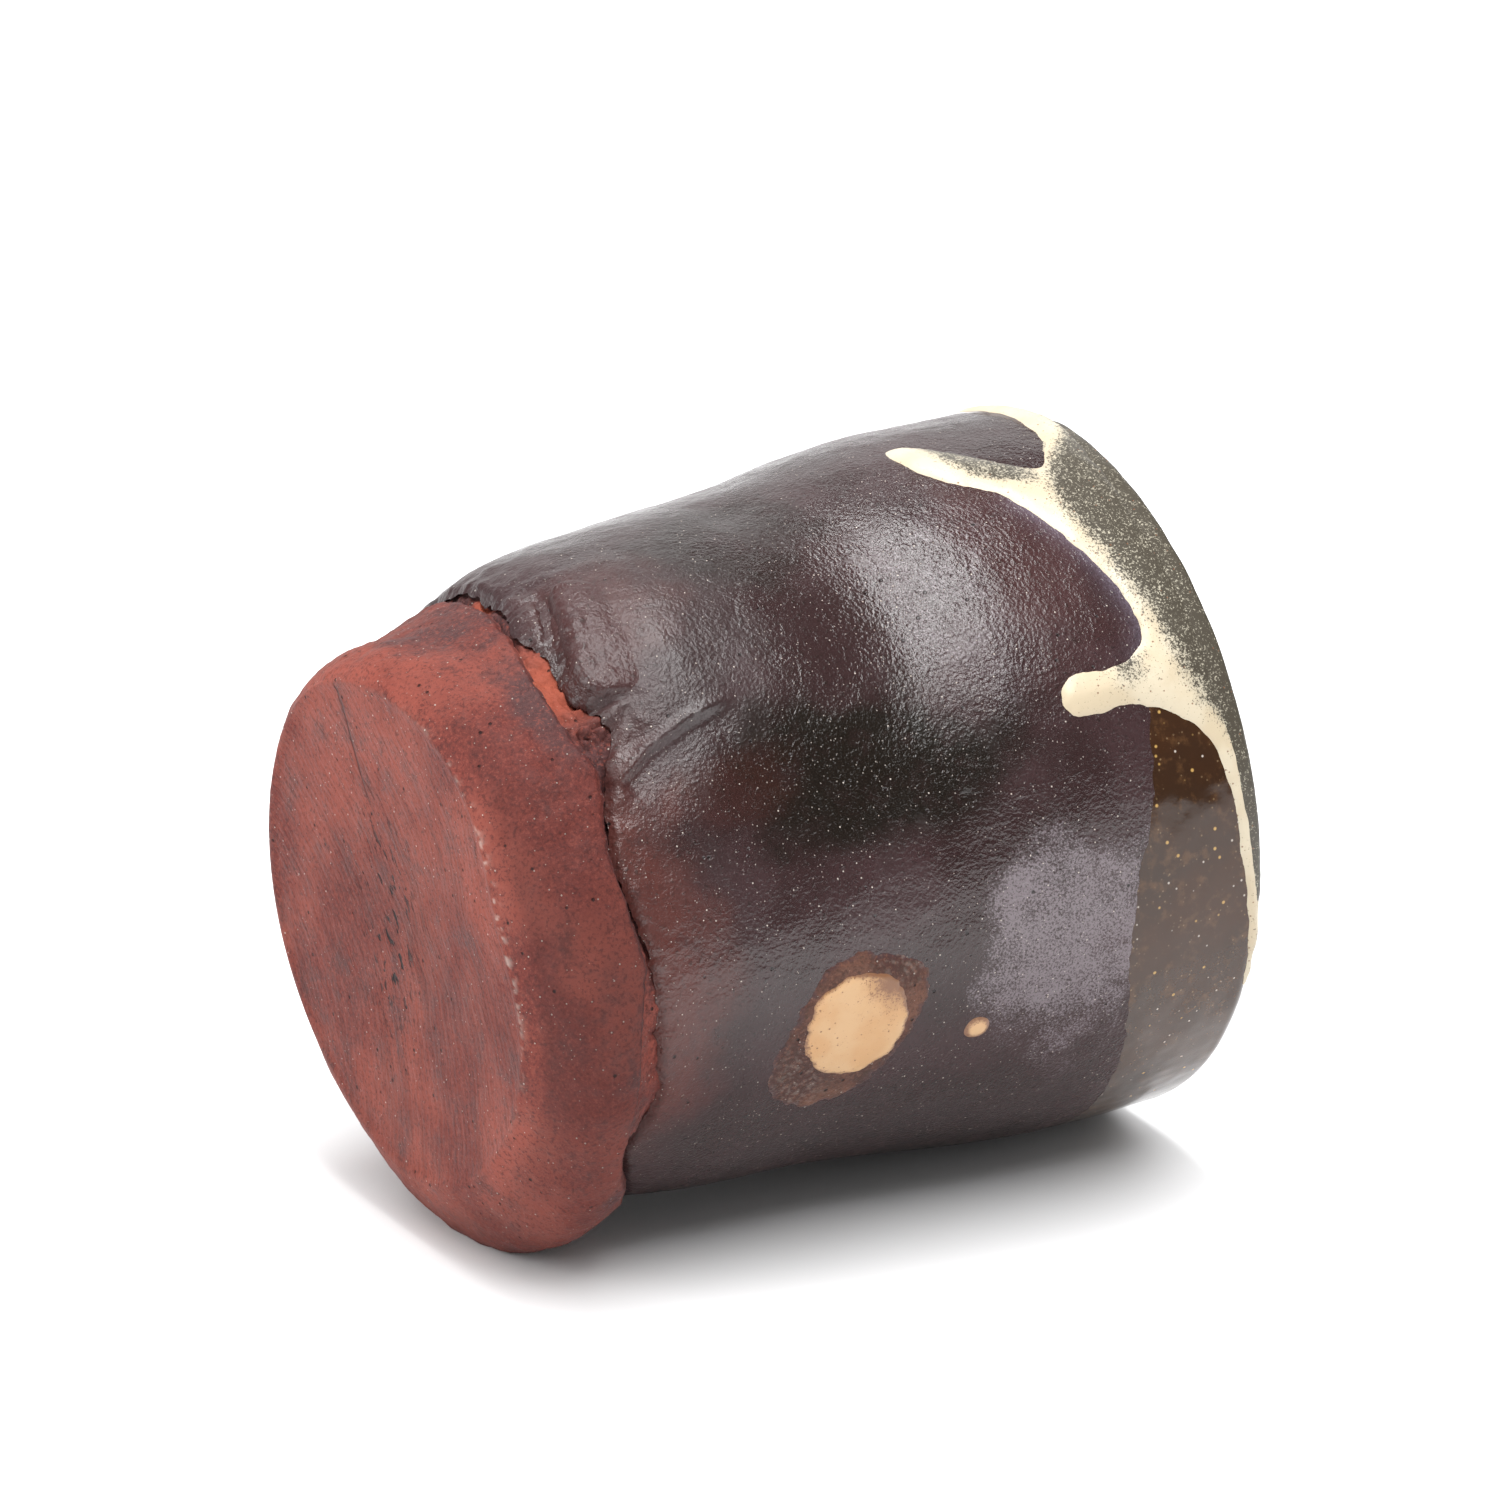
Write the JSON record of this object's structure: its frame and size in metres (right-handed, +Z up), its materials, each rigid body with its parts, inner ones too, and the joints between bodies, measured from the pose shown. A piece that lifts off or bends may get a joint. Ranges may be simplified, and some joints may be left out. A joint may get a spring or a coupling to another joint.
{
  "type": "stoneware sake cup",
  "caption": "Small hand-thrown stoneware sake cup lying on its side: thick red unglazed foot block, dark iron-glazed wall pressed with hollows, amber rim and a cream ash run.",
  "frame": {"origin": "middle of the footprint of the whole cup, on the surface it lies on", "axes": "+Z up, away from the surface the cup lies on; +X along the lying cup from the foot towards the mouth; +Y across"},
  "size_m": [0.0702, 0.0634, 0.0631],
  "materials": {
    "foot_clay": "matte unglazed red stoneware, wire-cut",
    "seam_clay": "matte raw red clay, torn",
    "flap_clay": "thin satin sheen over dark clay",
    "wall_clay": "dense stoneware",
    "body_glaze": "dark purple-brown iron glaze, semi-gloss, pitted",
    "rim_glaze": "dark amber gloss glaze with golden flecks",
    "inner_glaze": "dark brown gloss glaze",
    "glaze_pool": "thick dark gloss glaze",
    "ash_run": "cream ash glaze, satin",
    "ash_film": "speckled grey-green ash film, satin",
    "spot_cream": "peach-cream ash glaze, satin, pin-holed",
    "spot_halo": "brown scorched ring, rough"
  },
  "bodies": {
    "root": {"foot_block": "foot_clay", "seam_coil": "seam_clay", "clay_flap": "flap_clay", "cup_wall": "wall_clay", "body_glaze": "body_glaze", "rim_glaze": "rim_glaze", "inner_glaze": "inner_glaze", "glaze_pool": "glaze_pool", "cream_run": "ash_run", "ash_film": "ash_film", "cream_spot_large": "spot_cream", "cream_spot_small": "spot_cream", "spot_halo": "spot_halo"}
  },
  "joints": []
}
